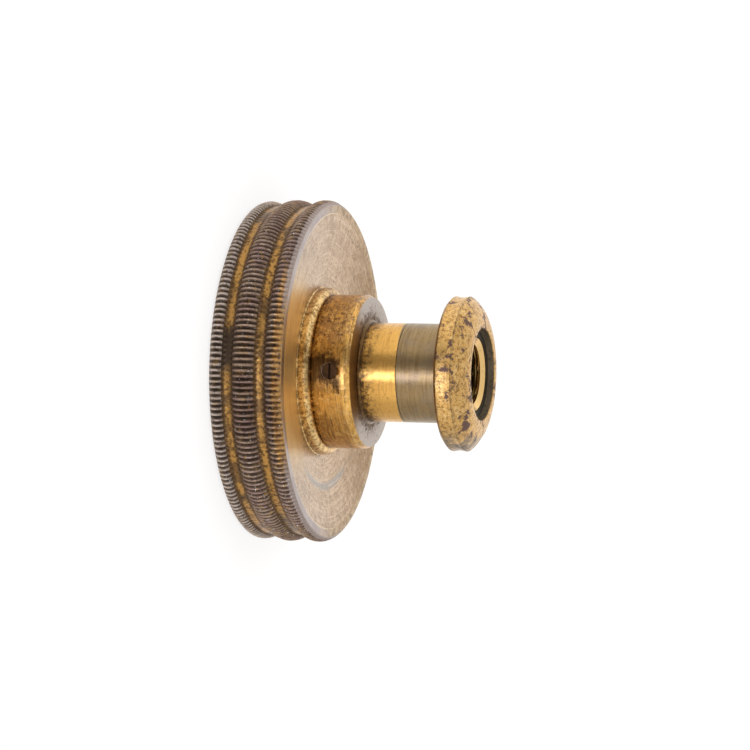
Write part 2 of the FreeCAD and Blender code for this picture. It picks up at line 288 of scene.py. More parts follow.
class Nodes:
    """Short calls that add nodes to one node tree."""

    def __init__(self, tree):
        self.tree = tree
        self.tree.nodes.clear()

    def link(self, source, target):
        self.tree.links.new(source, target)

    def feed(self, socket, value):
        """Set a socket to a number or colour, or link it."""
        if isinstance(value, bpy.types.NodeSocket):
            self.link(value, socket)
        else:
            socket.default_value = value

    def math(self, operation, a, b=0.0):
        node = self.tree.nodes.new("ShaderNodeMath")
        node.operation = operation
        self.feed(node.inputs[0], a)
        self.feed(node.inputs[1], b)
        return node.outputs[0]

    def times(self, *factors):
        """The product of two or more values."""
        product = factors[0]
        for factor in factors[1:]:
            product = self.math("MULTIPLY", product, factor)
        return product

    def gap(self, a, b):
        """How far two values are apart."""
        return self.math("ABSOLUTE", self.math("SUBTRACT", a, b))

    def wander(self, noise_value, width):
        """A noise moved to lie round zero and made about width wide."""
        return self.math("MULTIPLY", self.math("SUBTRACT", noise_value, 0.5), width)

    def vector(self, operation, a, b=None, scale=None):
        node = self.tree.nodes.new("ShaderNodeVectorMath")
        node.operation = operation
        self.feed(node.inputs[0], a)
        if b is not None:
            self.feed(node.inputs[1], b)
        if scale is not None:
            self.feed(node.inputs["Scale"], scale)
        return node.outputs["Value" if operation == "LENGTH" else "Vector"]

    def combine(self, x, y, z):
        node = self.tree.nodes.new("ShaderNodeCombineXYZ")
        for socket, value in zip(node.inputs, (x, y, z)):
            self.feed(socket, value)
        return node.outputs[0]

    def separate(self, vector):
        node = self.tree.nodes.new("ShaderNodeSeparateXYZ")
        self.link(vector, node.inputs[0])
        return node.outputs

    def position(self):
        """Place in the row frame, in millimetres."""
        coordinates = self.tree.nodes.new("ShaderNodeTexCoord")
        return self.vector("SCALE", coordinates.outputs["Object"], scale=1 / MM)

    def noise(self, vector, scale, detail=3.0, rough=0.55, distortion=0.0):
        node = self.tree.nodes.new("ShaderNodeTexNoise")
        self.link(vector, node.inputs["Vector"])
        node.inputs["Scale"].default_value = scale
        node.inputs["Detail"].default_value = detail
        node.inputs["Roughness"].default_value = rough
        node.inputs["Distortion"].default_value = distortion
        return node.outputs["Fac"]

    def step(self, value, low, high):
        """0 below low, 1 above high, smooth between; low may be above high to turn it round."""
        node = self.tree.nodes.new("ShaderNodeMapRange")
        node.interpolation_type = "SMOOTHSTEP"
        self.feed(node.inputs["Value"], value)
        flip = low > high
        node.inputs["From Min"].default_value = min(low, high)
        node.inputs["From Max"].default_value = max(low, high)
        node.inputs["To Min"].default_value = 1.0 if flip else 0.0
        node.inputs["To Max"].default_value = 0.0 if flip else 1.0
        return node.outputs["Result"]

    def mix(self, share, a, b):
        """Blend two colours."""
        node = self.tree.nodes.new("ShaderNodeMix")
        node.data_type = "RGBA"
        # The node has sockets for every data type: 6, 7 and output 2 are the colours.
        self.feed(node.inputs[0], share)
        self.feed(node.inputs[6], colour(a))
        self.feed(node.inputs[7], colour(b))
        return node.outputs[2]

    def between(self, share, low, high):
        """Blend two numbers."""
        return self.math("ADD", self.times(share, high - low), low)

    def attribute(self, name):
        node = self.tree.nodes.new("ShaderNodeAttribute")
        node.attribute_name = name
        return node.outputs["Fac"]

    def bump(self, height, distance, normal=None):
        node = self.tree.nodes.new("ShaderNodeBump")
        node.inputs["Strength"].default_value = 1.0
        node.inputs["Distance"].default_value = distance * MM
        self.link(height, node.inputs["Height"])
        if normal is not None:
            self.link(normal, node.inputs["Normal"])
        return node.outputs["Normal"]


def colour(value):
    """A plain (r, g, b) gets its alpha; a socket passes through."""
    if isinstance(value, tuple) and len(value) == 3:
        return value + (1.0,)
    return value


class Paint(Nodes):
    """The nodes of one new material, with its shader."""

    def __init__(self, name):
        self.material = bpy.data.materials.new(name)
        self.material.use_nodes = True
        super().__init__(self.material.node_tree)
        self.shader = self.tree.nodes.new("ShaderNodeBsdfPrincipled")
        output = self.tree.nodes.new("ShaderNodeOutputMaterial")
        self.link(self.shader.outputs["BSDF"], output.inputs["Surface"])


class Brass(Paint):
    """Old turned brass: base metal, turning marks, tarnish patches, speckle, and dirt with painted
    shade.
    """

    def __init__(self, name, metal, marks=0.004, rough=(0.2, 0.34), coat=0.0):
        super().__init__(name)
        self.place = self.position()
        self.x, self.y, self.z = self.separate(self.place)
        flat = self.combine(self.x, self.y, 0.0)
        self.radius = self.vector("LENGTH", flat)
        self.unit = self.vector("NORMALIZE", flat)
        self.travel = self.math("ADD", self.radius, self.z)
        self.fine = self.streaks(4.0, 26.0)
        self.broad = self.streaks(1.6, 5.0)
        self.tint = metal
        self.shine = self.between(self.fine, *rough)
        self.marks = marks
        self.grime_and_shade = self.attribute("grime_and_shade")
        self.shader.inputs["Metallic"].default_value = 1.0
        self.shader.inputs["Coat Weight"].default_value = coat
        self.shader.inputs["Coat Roughness"].default_value = 0.25

    def streaks(self, round_scale, across_scale):
        """Noise drawn out round the axis: slow round a ring and fast from ring to ring."""
        around = self.vector("SCALE", self.unit, scale=round_scale)
        across = self.combine(0.0, 0.0, self.times(self.travel, across_scale))
        return self.noise(self.vector("ADD", around, across), 1.0, 4.0, 0.6)

    def spread(self, share, paint, strength=1.0):
        """Lay another colour over the metal, where share says and at most at that strength."""
        if strength < 1.0:
            share = self.times(share, strength)
        self.tint = self.mix(share, self.tint, paint)

    def dull(self, share, level):
        """Move the roughness towards a level."""
        difference = self.math("SUBTRACT", level, self.shine)
        self.shine = self.math("ADD", self.shine, self.times(difference, share))

    def finish(self, anisotropy=0.0, extra_bump=None, extra_distance=0.02):
        """Wire the result to the shader."""
        self.feed(self.shader.inputs["Base Color"], colour(self.tint))
        self.feed(self.shader.inputs["Roughness"], self.shine)
        normal = self.bump(self.fine, self.marks)
        if extra_bump is not None:
            normal = self.bump(extra_bump, extra_distance, normal)
        self.link(normal, self.shader.inputs["Normal"])
        if anisotropy:
            tangent = self.tree.nodes.new("ShaderNodeTangent")
            tangent.direction_type = "RADIAL"
            tangent.axis = "Z"
            self.link(tangent.outputs[0], self.shader.inputs["Tangent"])
            self.shader.inputs["Anisotropic"].default_value = anisotropy
            self.shader.inputs["Anisotropic Rotation"].default_value = 0.25
        return self.material


# Colours that more than one place uses, or that name a piece's metal.
GOLD = (0.84, 0.47, 0.125)
PALE_GOLD = (0.63, 0.43, 0.265)
BROWN = (0.20, 0.105, 0.04)
UMBER = (0.075, 0.042, 0.02)
OLIVE_GREY = (0.34, 0.235, 0.115)
SILVER_GREY = (0.50, 0.43, 0.38)


def milled_material():
    """Brown tarnish on the milled bands: notches darkened by dirt and painted shade, white specks
    that are partly dust and partly painted glints, rubbed gold at the front.
    """
    paint = Brass("milled_tarnish", (0.36, 0.255, 0.19), marks=0.003, rough=(0.3, 0.46))
    patches = paint.noise(paint.place, 0.35, 4.0)
    paint.spread(paint.step(patches, 0.42, 0.62), (0.3, 0.2, 0.17))
    paint.spread(paint.step(paint.z, 2.2, 1.2), (0.53, 0.44, 0.38))
    spots = paint.noise(paint.place, 2.6, 5.0, 0.75)
    paint.spread(paint.step(spots, 0.5, 0.64), (0.11, 0.065, 0.04), 0.75)
    bare = paint.noise(paint.place, 1.4, 5.0, 0.7, 0.6)
    paint.spread(paint.step(bare, 0.62, 0.7), (0.42, 0.25, 0.08), 0.5)
    # Dirt and painted shade darken the notches and the edges of the bands.
    paint.spread(paint.step(paint.grime_and_shade, 0.02, 0.55), (0.075, 0.05, 0.034), 0.85)
    front = paint.step(paint.z, 6.35, 6.8)
    near = paint.step(paint.y, -13.0, -15.0)
    rubbed = paint.times(front, near, paint.step(spots, 0.62, 0.46))
    paint.spread(paint.times(rubbed, paint.between(paint.grime_and_shade, 0.85, 0.3)), (0.66, 0.36, 0.1))
    golden = paint.noise(paint.place, 1.7, 6.0, 0.8, 0.4)
    paint.spread(paint.step(golden, 0.56, 0.62), (0.5, 0.3, 0.09), 0.6)
    lip = paint.math("ADD", paint.z, paint.wander(golden, 0.6))
    away = paint.step(paint.gap(paint.x, 1.5), 6.0, 9.5)
    smooth_lip = paint.times(paint.step(lip, 6.95, 7.1), away)
    paint.spread(smooth_lip, (0.46, 0.38, 0.35), 0.85)
    # White specks: partly dust, partly painted glints.
    dust_and_glints = paint.noise(paint.place, 5.5, 2.0, 0.5)
    paint.spread(paint.step(dust_and_glints, 0.69, 0.71), (0.75, 0.73, 0.68))
    paint.dull(paint.grime_and_shade, 0.7)
    return paint.finish(extra_bump=spots, extra_distance=0.045)


def groove_material():
    """Rubbed gold in the ring grooves, much of it under brown dirt, with painted shade in their
    hollows.
    """
    paint = Brass("ring_groove_brass", (0.52, 0.275, 0.075), rough=(0.24, 0.4))
    patches = paint.noise(paint.place, 0.5, 4.0)
    paint.spread(paint.step(patches, 0.5, 0.6), (0.22, 0.12, 0.045))
    offsets = [paint.gap(paint.z, middle) for middle in GROOVE_MIDDLES]
    offset = paint.math("MINIMUM", *offsets)
    ragged_offset = paint.math("ADD", offset, paint.wander(patches, 0.5))
    paint.spread(paint.step(ragged_offset, 0.18, 0.36), (0.13, 0.08, 0.045), 0.85)
    dirt = paint.noise(paint.place, 2.2, 5.0, 0.75)
    paint.spread(paint.step(dirt, 0.5, 0.58), UMBER, 0.8)
    centre = paint.step(paint.math("ABSOLUTE", paint.x), 8.0, 2.0)
    paint.spread(centre, (0.12, 0.07, 0.03), 0.3)
    rear = paint.times(paint.step(paint.z, 3.0, 2.2), paint.step(paint.y, -15.0, -16.0))
    ragged = paint.math("ADD", paint.x, paint.wander(dirt, 4.0))
    side = paint.times(paint.step(ragged, 0.8, -0.8), paint.step(ragged, -5.0, -3.2))
    paint.spread(paint.times(rear, side), (0.05, 0.036, 0.026))
    # Dirt and painted shade in the grooves' hollows.
    paint.spread(paint.grime_and_shade, UMBER, 0.5)
    return paint.finish(extra_bump=dirt, extra_distance=0.03)


def face_material():
    """The wheel's dished face: pale brass with ring marks, brown speckle, a grey arc and a painted
    reflection of the boss on its -Y side.
    """
    paint = Brass("wheel_face_brass", PALE_GOLD, marks=0.008, rough=(0.2, 0.32), coat=0.25)
    paint.spread(paint.step(paint.broad, 0.38, 0.7), (0.46, 0.31, 0.17), 0.55)
    outer = paint.step(paint.radius, 9.5, 14.5)
    mottle = paint.noise(paint.place, 0.55, 6.0, 0.75, 0.4)
    paint.spread(paint.times(paint.step(mottle, 0.47, 0.6), outer), (0.38, 0.225, 0.105))
    far = paint.times(paint.step(paint.y, 5.0, 12.0), paint.step(mottle, 0.3, 0.52))
    paint.spread(far, (0.36, 0.195, 0.065), 0.85)
    speckle = paint.noise(paint.place, 2.4, 6.0, 0.85)
    paint.spread(paint.step(speckle, 0.52, 0.58), BROWN, 0.65)
    scuffs = paint.noise(paint.place, 1.1, 6.0, 0.82, 1.2)
    paint.spread(paint.step(scuffs, 0.52, 0.57), (0.33, 0.2, 0.1), 0.65)
    glints = paint.noise(paint.place, 3.1, 4.0, 0.8)
    paint.spread(paint.step(glints, 0.58, 0.64), (0.86, 0.72, 0.55), 0.5)
    ring = paint.step(paint.gap(paint.radius, 11.5), 0.5, 0.2)
    arc_side = paint.step(paint.x, 9.2, 10.6)
    paint.spread(paint.times(ring, arc_side), (0.3, 0.29, 0.28), 0.75)
    lines = paint.streaks(2.2, 4.2)
    paint.spread(paint.step(lines, 0.5, 0.6), (0.4, 0.27, 0.15), 0.45)
    paint.spread(paint.step(lines, 0.46, 0.38), (0.78, 0.6, 0.42), 0.4)
    # Painted reflection of the gold boss: between the boss and the -Y side of the rim the face is
    # painted streaked bright gold and made a little rougher.
    middle = paint.step(paint.math("ABSOLUTE", paint.x), 11.0, 5.0)
    near = paint.times(paint.step(paint.y, -5.0, -8.5), middle)
    streaked = paint.mix(paint.step(lines, 0.42, 0.6), (0.94, 0.68, 0.3), (0.8, 0.5, 0.19))
    paint.spread(near, streaked)
    paint.shine = paint.math("ADD", paint.shine, paint.times(near, 0.1))
    corner = paint.step(paint.radius, 8.9, 8.35)
    crumbs = paint.noise(paint.place, 2.8, 6.0, 0.75)
    paint.spread(paint.times(paint.step(crumbs, 0.46, 0.6), corner), BROWN)
    paint.dull(paint.step(speckle, 0.5, 0.7), 0.5)
    return paint.finish(anisotropy=0.5, extra_bump=speckle, extra_distance=0.012)


def ring_material():
    """The flat ring next to the rim: a smooth lilac-grey film."""
    paint = Brass("front_ring_film", (0.46, 0.39, 0.36), marks=0.002, rough=(0.3, 0.36), coat=0.2)
    patches = paint.noise(paint.place, 0.6, 4.0)
    paint.spread(paint.step(patches, 0.42, 0.62), (0.4, 0.32, 0.31))
    mottle = paint.noise(paint.place, 1.2, 6.0, 0.8, 0.4)
    worn = paint.mix(paint.step(mottle, 0.44, 0.6), (0.56, 0.39, 0.21), (0.26, 0.15, 0.07))
    paint.spread(paint.step(paint.y, -6.0, 2.0), worn)
    return paint.finish(extra_bump=mottle, extra_distance=0.012)


def ring_edge_material():
    """The edge where the flat ring turns into the dished face: a painted highlight in bright cream,
    browner towards +Y.
    """
    paint = Brass("front_ring_edge", (0.85, 0.68, 0.45), rough=(0.2, 0.3))
    paint.spread(paint.step(paint.y, -3.0, 4.0), (0.5, 0.34, 0.18))
    speckle = paint.noise(paint.place, 2.5, 5.0, 0.7)
    paint.spread(paint.step(speckle, 0.52, 0.62), BROWN, 0.6)
    return paint.finish()


def boss_material():
    """The boss: gold with brown speckle and fine scratches round it, dirt with painted shade in its
    corners, a painted highlight on its shoulder ring and a painted dark reflection round the grub
    screw.
    """
    paint = Brass("boss_brass", GOLD, marks=0.01, rough=(0.22, 0.34))
    lines = paint.streaks(1.8, 2.4)
    paint.spread(paint.step(lines, 0.5, 0.6), (0.42, 0.21, 0.055), 0.65)
    scratches = paint.streaks(2.2, 5.5)
    paint.spread(paint.step(scratches, 0.56, 0.62), (0.19, 0.095, 0.035), 0.7)
    patches = paint.noise(paint.place, 0.55, 5.0, 0.65)
    upper = paint.between(paint.step(paint.x, 1.5, -4.5), 0.35, 1.0)
    paint.spread(paint.times(paint.step(patches, 0.47, 0.6), upper), (0.5, 0.275, 0.1))
    glints = paint.noise(paint.place, 1.9, 5.0, 0.8, 0.5)
    paint.spread(paint.step(glints, 0.53, 0.6), (1.0, 0.66, 0.26), 0.7)
    speckle = paint.noise(paint.place, 2.6, 6.0, 0.85)
    paint.spread(paint.times(paint.step(speckle, 0.52, 0.58), upper), (0.17, 0.088, 0.042))
    # Painted highlight: the rounded shoulder ring is painted a paler, brighter gold.
    shoulder = paint.step(paint.radius, 7.7, 7.9)
    paint.spread(paint.times(shoulder, paint.step(patches, 0.64, 0.5)), (1.0, 0.68, 0.29))
    # Dirt with painted shade at the boss's foot, in the corner above the shoulder.
    foot = paint.between(paint.step(paint.z, 8.5, 7.5), 0.0, 0.7)
    crumbs = paint.noise(paint.place, 2.8, 6.0, 0.75)
    paint.spread(paint.times(paint.step(crumbs, 0.48, 0.56), foot), (0.18, 0.095, 0.035))
    # Painted dark reflection on the -Y side of the boss round the grub screw, darkest in its core.
    shift = paint.wander(patches, 5.0)
    across = paint.math("ABSOLUTE", paint.math("ADD", paint.x, shift))
    shade = paint.times(paint.step(across, 2.7, 1.3), paint.step(paint.y, -5.0, -7.0))
    height = paint.math("ADD", paint.z, paint.times(shift, 0.4))
    shade = paint.times(shade, paint.step(height, 10.7, 9.9))
    shade = paint.times(shade, paint.step(height, 6.4, 8.4))
    streaked = paint.times(paint.step(crumbs, 0.72, 0.42), paint.step(scratches, 0.62, 0.44))
    paint.spread(paint.times(shade, streaked), (0.085, 0.045, 0.02))
    core = paint.times(shade, paint.step(across, 1.7, 0.9))
    paint.spread(core, (0.06, 0.032, 0.016), 0.9)
    # Dirt and painted shade in the shoulder groove.
    paint.spread(paint.times(paint.grime_and_shade, paint.step(crumbs, 0.35, 0.55)), UMBER, 0.85)
    return paint.finish(anisotropy=0.6, extra_bump=speckle, extra_distance=0.012)


def boss_face_material():
    """The boss's top: a grey film, with dark dirt round the neck."""
    paint = Brass("boss_face_film", SILVER_GREY, rough=(0.26, 0.38))
    crumbs = paint.noise(paint.place, 2.6, 6.0, 0.85)
    edge = paint.math("ADD", paint.radius, paint.wander(crumbs, 9.0))
    share = paint.step(edge, 6.3, 5.2)
    paint.spread(share, (0.17, 0.105, 0.055))
    near = paint.times(paint.step(paint.y, -3.0, -5.5), 0.85)
    paint.spread(near, (0.24, 0.13, 0.04))
    paint.spread(paint.step(crumbs, 0.55, 0.6), BROWN, 0.6)
    paint.dull(share, 0.6)
    return paint.finish(extra_bump=crumbs, extra_distance=0.04)


def neck_material():
    """The bright neck: clean gold with ring scratches, and dirt with painted shade at its root."""
    paint = Brass("neck_brass", (0.82, 0.46, 0.12), marks=0.009, rough=(0.2, 0.3))
    scratches = paint.streaks(2.0, 5.5)
    paint.spread(paint.step(scratches, 0.52, 0.64), (0.5, 0.25, 0.06), 0.45)
    crumbs = paint.noise(paint.place, 2.2, 6.0, 0.8)
    root = paint.step(paint.z, 13.6, 11.6)
    paint.spread(paint.times(paint.step(crumbs, 0.43, 0.56), root), (0.09, 0.05, 0.025))
    paint.spread(paint.step(crumbs, 0.56, 0.66), BROWN, 0.6)
    flank = paint.math("SUBTRACT", NECK_RADIUS, paint.math("ABSOLUTE", paint.y))
    line = paint.math("ADD", paint.z, paint.times(flank, 0.07))
    paint.spread(paint.step(line, NECK_TOP - 0.02, NECK_TOP + 0.04), OLIVE_GREY)
    # Dirt and painted shade in the fillet at the neck's root.
    paint.spread(paint.grime_and_shade, (0.1, 0.055, 0.025), 0.85)
    return paint.finish(anisotropy=0.65, extra_bump=crumbs, extra_distance=0.01)


def sleeve_material():
    """The running sleeve: a darker, greyer metal with fine turning marks."""
    paint = Brass("sleeve_metal", (0.38, 0.265, 0.13), marks=0.009, rough=(0.28, 0.38))
    scratches = paint.streaks(2.0, 5.0)
    paint.spread(paint.step(scratches, 0.52, 0.62), (0.22, 0.15, 0.075), 0.5)
    paint.spread(paint.step(paint.broad, 0.42, 0.6), (0.24, 0.155, 0.075), 0.5)
    patches = paint.noise(paint.place, 0.6, 4.0)
    paint.spread(paint.step(patches, 0.45, 0.6), (0.3, 0.23, 0.16), 0.45)
    speckle = paint.noise(paint.place, 2.6, 6.0, 0.8)
    paint.spread(paint.step(speckle, 0.55, 0.66), BROWN, 0.6)
    # Dirt and painted shade at the sleeve's ends, where it meets the neck and the collar.
    paint.spread(paint.grime_and_shade, UMBER, 0.8)
    return paint.finish(anisotropy=0.65, extra_bump=speckle, extra_distance=0.01)


def collar_material():
    """The end collar: gold with worn purple-brown patches, pits and grey at its lower edge."""
    paint = Brass("collar_brass", (0.8, 0.48, 0.16), marks=0.005, rough=(0.24, 0.36))
    glints = paint.noise(paint.place, 1.6, 6.0, 0.8, 0.5)
    paint.spread(paint.step(glints, 0.5, 0.6), (1.0, 0.72, 0.34), 0.6)
    speckle = paint.noise(paint.place, 2.6, 6.0, 0.85)
    paint.spread(paint.step(speckle, 0.5, 0.56), (0.3, 0.15, 0.05), 0.8)
    patches = paint.noise(paint.place, 0.75, 6.0, 0.68, 0.3)
    share = paint.step(patches, 0.555, 0.61)
    paint.spread(share, (0.19, 0.115, 0.09))
    corner = paint.times(paint.step(paint.x, 5.4, 6.9), paint.step(patches, 0.4, 0.5))
    paint.spread(corner, (0.25, 0.2, 0.15), 0.8)
    # Dirt and painted shade along the collar's back edge and where its rim meets its face.
    paint.spread(paint.grime_and_shade, (0.1, 0.08, 0.06), 0.85)
    paint.dull(share, 0.5)
    return paint.finish(anisotropy=0.3, extra_bump=speckle, extra_distance=0.03)


def mouth_material():
    """The mouth's wall and floor: grey-brown dirt, with painted shade darkening the floor."""
    paint = Brass("mouth_dirt", (0.32, 0.27, 0.2), rough=(0.4, 0.6))
    speckle = paint.noise(paint.place, 3.0, 6.0, 0.75)
    paint.spread(paint.step(speckle, 0.5, 0.7), (0.06, 0.05, 0.035))
    # Dirt and painted shade on the mouth's floor.
    paint.spread(paint.grime_and_shade, (0.02, 0.014, 0.008), 0.9)
    return paint.finish(extra_bump=speckle, extra_distance=0.02)


def bush_material():
    """The thread bush: bright at its lead-in, with painted shadow darkening the thread further
    down.
    """
    paint = Brass("bush_brass", (1.0, 0.66, 0.27), rough=(0.22, 0.32))
    # Painted shadow deeper in the bore.
    paint.spread(paint.grime_and_shade, (0.1, 0.065, 0.02), 0.95)
    speckle = paint.noise(paint.place, 3.0, 6.0, 0.75)
    paint.spread(paint.step(speckle, 0.58, 0.68), BROWN, 0.6)
    return paint.finish()


def back_material():
    """The back of the wheel: plain turned brass, brown with age."""
    paint = Brass("back_brass", (0.5, 0.3, 0.12), marks=0.006, rough=(0.3, 0.42))
    patches = paint.noise(paint.place, 0.3, 5.0)
    paint.spread(paint.step(patches, 0.45, 0.62), (0.26, 0.15, 0.07))
    speckle = paint.noise(paint.place, 2.0, 6.0, 0.75)
    paint.spread(paint.step(speckle, 0.52, 0.66), UMBER, 0.7)
    return paint.finish(anisotropy=0.4)


def screw_material():
    """The grub screw: blackened steel under dirt."""
    paint = Brass("grub_screw_steel", (0.085, 0.045, 0.022), rough=(0.4, 0.55))
    speckle = paint.noise(paint.place, 3.0, 5.0, 0.8)
    paint.spread(paint.step(speckle, 0.48, 0.6), (0.045, 0.025, 0.014))
    return paint.finish(extra_bump=speckle, extra_distance=0.02)


# ---------------------------------------------------------------- pieces

# The order of the milled head's materials.
MILLED, GROOVE, FACE, BOSS, BACK, BOSS_FACE, RING, RING_EDGE = range(8)


def settle(piece, body, node):
    """A finished piece rides on its body and stands for its CAD node."""
    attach(piece, body)
    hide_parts(node)


def rim_outline():
    """Rings of the rim, from back to front: radius, height, material, dirt and painted shade, and
    milling depth.
    """
    edge = BAND_EDGE_RADIUS
    depths = [
        EDGE_MILLING_DEPTH + (MILLING_DEPTH - EDGE_MILLING_DEPTH) * math.sin(math.pi * step / 9)
        for step in range(1, 10)
    ]
    rings = [(BACK_FACE_RADIUS, 0, BACK, 0.0, 0.0)]
    height = BACK_BEVEL
    for step, point in enumerate(run((BACK_FACE_RADIUS, 0), (edge, height), 3)):
        rings.append((*point, MILLED, 0.1, EDGE_MILLING_DEPTH * (step + 1) / 3))
    bands = (
        (REAR_BAND_WIDTH, REAR_CREST_RADIUS - edge),
        (MIDDLE_BAND_WIDTH, WHEEL_RADIUS - edge),
    )
    for width, rise in bands:
        crown = arc((edge, height), (edge, height + width), rise, 9)
        for point, depth in zip(crown, depths):
            rings.append((*point, MILLED, 0.0, depth))
        height += width
        hollow = arc((edge, height), (edge, height + RING_GROOVE_WIDTH), -RING_GROOVE_DEPTH, 7)
        for point, depth in zip(hollow, GROOVE_MILLING_DEPTHS):
            rings.append((*point, GROOVE, 0.3, depth))
        height += RING_GROOVE_WIDTH
    last = (FRONT_BAND_EDGE_RADIUS, height + FRONT_BAND_WIDTH)
    rise = WHEEL_RADIUS - (edge + FRONT_BAND_EDGE_RADIUS) / 2
    fading_depths = depths[:-2] + [EDGE_MILLING_DEPTH * 0.7, EDGE_MILLING_DEPTH * 0.3]
    for point, depth in zip(arc((edge, height), last, rise, 9), fading_depths):
        rings.append((*point, MILLED, 0.0, depth))
    rings.append((FRONT_FACE_RADIUS, WHEEL_TOP, MILLED, 0.0, 0.0))
    return rings


def milling_plan():
    """Samples round the rim: angle, depth of the notch beside it, and how far it is cut there.

    The notches have the small errors of hand work in their places and depths.
    """
    chance = random.Random(SEED)
    notches = []
    for tooth in range(TOOTH_COUNT):
        shift = chance.gauss(0, NOTCH_SHIFT) * TOOTH_PITCH
        notches.append((tooth * TOOTH_PITCH + shift, chance.uniform(*NOTCH_DEPTHS)))
    first_angle, first_depth = notches[0]
    notches.append((first_angle + math.tau, first_depth))
    half_width = MILLING_WIDTH / 2 / WHEEL_RADIUS / TOOTH_PITCH
    samples = []
    for (start, start_depth), (stop, stop_depth) in zip(notches, notches[1:]):
        for share in TOOTH_SAMPLES:
            near = min(share, 1 - share) / half_width
            depth = start_depth if share <= 0.5 else stop_depth
            samples.append((start + (stop - start) * share, depth, depth * (1 - near)))
    return samples


def soft_minimum(a, b, rounding):
    """The smaller of two numbers, rounded where they cross."""
    share = max(rounding - abs(a - b), 0) / rounding
    return min(a, b) - share * share * rounding / 4


def milled_ring(samples, radius, height, grime_and_shade, milling):
    """Vertices of one ring of the rim: notches, slight unevenness and nicks."""
    vertices = []
    for angle, depth, cut in samples:
        around = Vector((math.cos(angle), math.sin(angle), 0))
        wobble = noise.noise(around * 9 + Vector((0, 0, height * 1.5)))
        nick = noise.noise(around * 70 + Vector((0, 0, height * 3.0)))
        worn = radius + RIM_WOBBLE * wobble - RIM_NICKS * max(0, nick - 0.3)
        made = soft_minimum(worn, worn - milling * cut, CREST_ROUNDING) if milling else worn
        # Painted shade with the dirt in the notches: the share of the notch's depth cut here.
        sunk = min(1, max(0, cut / depth)) if milling else 0
        vertices.append((angle, made, height, max(grime_and_shade, sunk)))
    return vertices


def back_outline():
    """The wheel's back, from the axis out: a shallow recess and a flat rim."""
    floor = BACK_RECESS_DEPTH
    return [
        ([(radius, floor) for radius in (0, 4.0, 8.0, 12.0, BACK_RECESS_RADIUS - 0.05)], BACK, 0.0),
        ([(BACK_RECESS_RADIUS, floor - 0.05)], BACK, 0.6),
        ([(BACK_RECESS_RADIUS, 0.05)], BACK, 0.2),
        ([(BACK_RECESS_RADIUS + 0.05, 0), (BACK_FACE_RADIUS - 0.3, 0)], BACK, 0.0),
    ]


def front_outline():
    """From the rim's front edge in and up: flat ring, dished face, shoulder ring and boss."""
    ring_bore = (FRONT_RING_BORE - 0.04, WHEEL_TOP - 0.02)
    face_foot = (SHOULDER_RADIUS + 0.1, SHOULDER_FOOT + 0.02)
    rounding_start = (SHOULDER_RADIUS, SHOULDER_TOP - SHOULDER_ROUNDING)
    rounding_stop = (SHOULDER_RADIUS - SHOULDER_ROUNDING, SHOULDER_TOP)
    groove_top = (BOSS_RADIUS, SHOULDER_GROOVE_TOP)
    bevel_start = (BOSS_RADIUS, BOSS_TOP - BOSS_BEVEL_HEIGHT)
    bevel_stop = (BOSS_RADIUS - BOSS_BEVEL_WIDTH, BOSS_TOP)
    boss_face = [(radius, BOSS_TOP) for radius in (7.38, 7.0, 6.4, 5.8, 5.3, SOCKET_RADIUS)]
    return [
        ([(FRONT_FACE_RADIUS - 0.06, WHEEL_TOP), (FRONT_RING_BORE + 0.04, WHEEL_TOP)], RING, 0.0),
        ([ring_bore], RING_EDGE, 0.0),
        (run(ring_bore, face_foot, 9), FACE, 0.0),
        ([(SHOULDER_RADIUS, SHOULDER_FOOT + 0.1)], BOSS, 0.5),
        ([rounding_start], BOSS, 0.1),
        (arc(rounding_start, rounding_stop, quarter_bulge(SHOULDER_ROUNDING), 8), BOSS, 0.0),
        ([(SHOULDER_GROOVE_RADIUS, SHOULDER_TOP)], BOSS, 1.0),
        ([groove_top], BOSS, 0.6),
        (run(groove_top, bevel_start, 8), BOSS, 0.0),
        (run(bevel_start, bevel_stop, 3), BOSS, 0.0),
        (boss_face, BOSS_FACE, 0.0),
        ([(SOCKET_RADIUS, SOCKET_FLOOR), (0, SOCKET_FLOOR)], BOSS_FACE, 0.0),
    ]


def milled_head():
    """The wheel and boss in one closed mesh, with every tooth of the milling."""
    lathe = Lathe("milled_head_brass")
    samples = milling_plan()
    for stretch in back_outline():
        lathe.stretch(*stretch)
    for radius, height, material, grime_and_shade, milling in rim_outline():
        lathe.ring(milled_ring(samples, radius, height, grime_and_shade, milling), material)
    for stretch in front_outline():
        lathe.stretch(*stretch)
    piece = lathe.build((
        milled_material(), groove_material(), face_material(), boss_material(),
        back_material(), boss_face_material(), ring_material(), ring_edge_material(),
    ))
    drill(piece, GRUB_RADIUS, GRUB_HEIGHT)
    settle(piece, "knob", "milled_head")


def drill(piece, radius, height):
    """Cut a round hole from the axis out through the -Y side of the boss."""
    lathe = Lathe("drill")
    depth = BOSS_RADIUS + 1
    lathe.ring([(0, 0, 0, 0.0)])
    for end in (0, depth):
        lathe.ring([(angle, radius, end, 0.0) for angle in even_angles(HOLE_SEGMENTS)])
    lathe.ring([(0, 0, depth, 0.0)])
    tool = lathe.build([])
    sideways = Matrix.Rotation(math.pi / 2, 4, "X")
    tool.data.transform(Matrix.Translation((0, 0, height * MM)) @ sideways)
    modifier = piece.modifiers.new("grub_hole", "BOOLEAN")
    modifier.operation = "DIFFERENCE"
    modifier.object = tool
    modifier.solver = "EXACT"
    evaluated = piece.evaluated_get(bpy.context.evaluated_depsgraph_get())
    cut = bpy.data.meshes.new_from_object(evaluated)
    piece.modifiers.clear()
    piece.data = cut
    bpy.data.objects.remove(tool)


